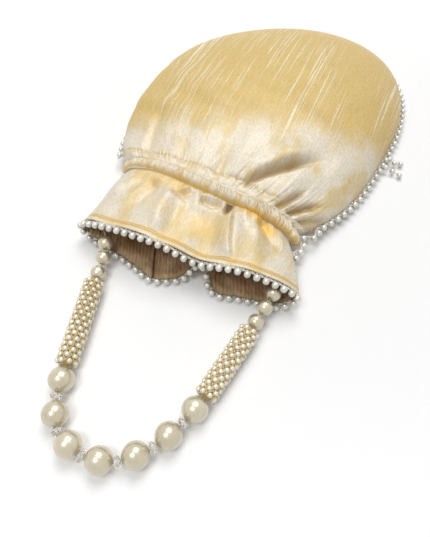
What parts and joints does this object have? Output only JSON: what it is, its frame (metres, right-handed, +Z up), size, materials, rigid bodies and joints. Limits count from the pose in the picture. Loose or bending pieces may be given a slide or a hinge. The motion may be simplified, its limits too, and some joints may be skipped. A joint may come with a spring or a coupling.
{
  "type": "potli bag",
  "caption": "Round silk drawstring pouch lying flat, with a gathered neck, a frilled mouth, pearl-trimmed edges and a handle of strung pearls.",
  "frame": {"origin": "on the flat underside of the back panel, at the widest line of the pouch", "axes": "+Z up, away from the surface the pouch lies on; +Y towards the rounded base and -Y towards the mouth and the handle; +X to the right seen from the mouth"},
  "size_m": [0.1999, 0.3868, 0.041],
  "materials": {
    "dupion_silk": "slubbed silk with a soft sheen",
    "lining_silk": "thin plain weave",
    "elastic": "woven",
    "trim_pearl": "pearlescent",
    "handle_pearl": "pearlescent",
    "pearl_netting": "pearls netted with golden thread",
    "clear_crystal": "faceted",
    "white_thread": "twisted"
  },
  "bodies": {
    "pouch": {"front_panel": "dupion_silk", "back_panel": "dupion_silk", "lining": "lining_silk", "neck_casing": "dupion_silk", "neck_elastic": "elastic", "mouth_trim": "trim_pearl", "seam_trim": "trim_pearl", "trim_tail_1": "trim_pearl", "trim_tail_2": "trim_pearl", "anchor_knot_left": "white_thread", "anchor_knot_right": "white_thread", "anchor_string_left": "white_thread", "anchor_string_right": "white_thread", "side_pearl_left_1": "handle_pearl", "side_pearl_right_1": "handle_pearl"},
    "second_side_pearls": {"side_pearl_left_2": "handle_pearl", "side_pearl_right_2": "handle_pearl", "link_string_left_2": "white_thread", "link_string_right_2": "white_thread"},
    "third_side_pearls": {"side_pearl_left_3": "handle_pearl", "side_pearl_right_3": "handle_pearl", "link_string_left_3": "white_thread", "link_string_right_3": "white_thread"},
    "handle": {"handle_string": "white_thread", "pearl_sleeve_left": "pearl_netting", "pearl_sleeve_right": "pearl_netting", "big_pearl_1": "handle_pearl", "big_pearl_2": "handle_pearl", "big_pearl_3": "handle_pearl", "big_pearl_4": "handle_pearl", "big_pearl_5": "handle_pearl", "big_pearl_6": "handle_pearl", "big_pearl_7": "handle_pearl", "crystal_1": "clear_crystal", "crystal_2": "clear_crystal", "crystal_3": "clear_crystal", "crystal_4": "clear_crystal", "crystal_5": "clear_crystal", "crystal_6": "clear_crystal"}
  },
  "joints": [
    {"name": "handle_fold_1", "type": "hinge", "parent": "pouch", "child": "second_side_pearls", "pos_m": [0.00497, -0.166, 0.01048], "axis": [-0.9971, -0.0753, -0.0087], "range_deg": [0, 30]},
    {"name": "handle_fold_2", "type": "hinge", "parent": "second_side_pearls", "child": "third_side_pearls", "pos_m": [0.00503, -0.17571, 0.00814], "axis": [-0.9968, -0.0793, -0.0038], "range_deg": [0, 32]},
    {"name": "handle_fold_3", "type": "hinge", "parent": "third_side_pearls", "child": "handle", "pos_m": [0.00497, -0.18572, 0.00691], "axis": [-0.9966, -0.0813, -0.0094], "range_deg": [0, 25]}
  ]
}
